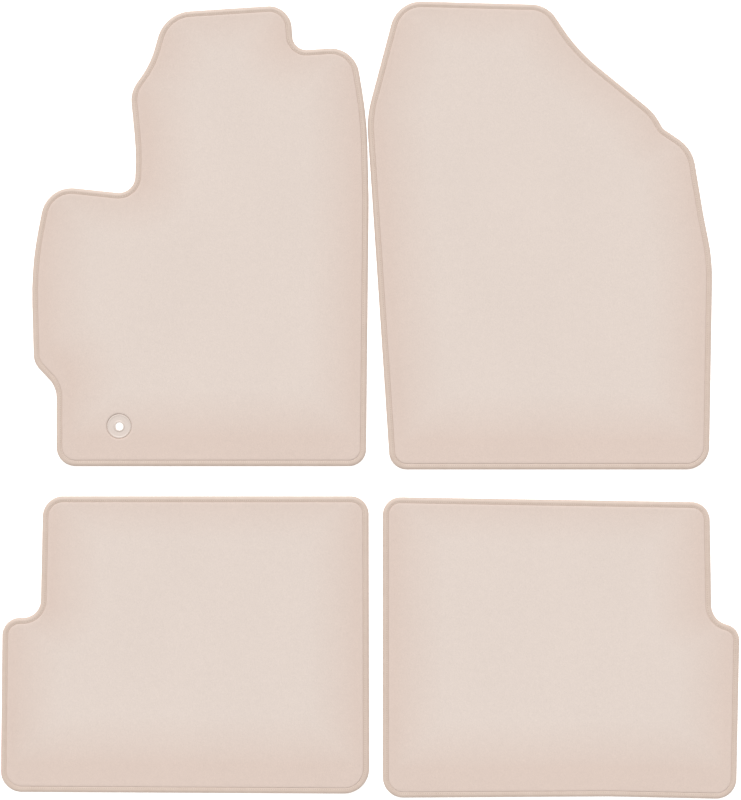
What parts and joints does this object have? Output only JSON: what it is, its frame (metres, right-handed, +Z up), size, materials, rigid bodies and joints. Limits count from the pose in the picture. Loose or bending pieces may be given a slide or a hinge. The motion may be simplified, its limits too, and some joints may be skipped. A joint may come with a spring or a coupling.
{
  "type": "floor mat set",
  "caption": "Tailored carpet floor mats for the footwells of a passenger car, with a taped and stitched edge, an anti-slip underside and a fixing eyelet.",
  "frame": {"origin": "on the floor, under the middle of the box of the whole set as laid out", "axes": "+X to the right-hand side of the car, +Y to the front of the car, +Z up out of the pile"},
  "size_m": [1.1093, 1.1973, 0.0075],
  "materials": {
    "velour": "dense cut-pile velour, matt with a faint sheen",
    "antislip_backing": "matt, fine pimpled grip",
    "edge_binding": "coated textile tape, satin with a fine grain",
    "seam_thread": "twisted polyester sewing thread",
    "eyelet_plastic": "moulded, fine satin"
  },
  "bodies": {
    "driver_mat": {"driver_velour_face": "velour", "driver_antislip_backing": "antislip_backing", "driver_edge_binding": "edge_binding", "driver_needle_thread": "seam_thread", "driver_bobbin_thread": "seam_thread", "driver_eyelet_flange": "eyelet_plastic", "driver_eyelet_lock_ring": "eyelet_plastic"},
    "passenger_mat": {"passenger_velour_face": "velour", "passenger_antislip_backing": "antislip_backing", "passenger_edge_binding": "edge_binding", "passenger_needle_thread": "seam_thread", "passenger_bobbin_thread": "seam_thread"},
    "rear_left_mat": {"rear_left_velour_face": "velour", "rear_left_antislip_backing": "antislip_backing", "rear_left_edge_binding": "edge_binding", "rear_left_needle_thread": "seam_thread", "rear_left_bobbin_thread": "seam_thread"},
    "rear_right_mat": {"rear_right_velour_face": "velour", "rear_right_antislip_backing": "antislip_backing", "rear_right_edge_binding": "edge_binding", "rear_right_needle_thread": "seam_thread", "rear_right_bobbin_thread": "seam_thread"}
  },
  "joints": [
    {"name": "passenger_mat_lift", "type": "slide", "parent": "driver_mat", "child": "passenger_mat", "axis": [0, 0, 1], "range_m": [0, 0.3]},
    {"name": "rear_left_mat_lift", "type": "slide", "parent": "driver_mat", "child": "rear_left_mat", "axis": [0, 0, 1], "range_m": [0, 0.3]},
    {"name": "rear_right_mat_lift", "type": "slide", "parent": "driver_mat", "child": "rear_right_mat", "axis": [0, 0, 1], "range_m": [0, 0.3]}
  ]
}
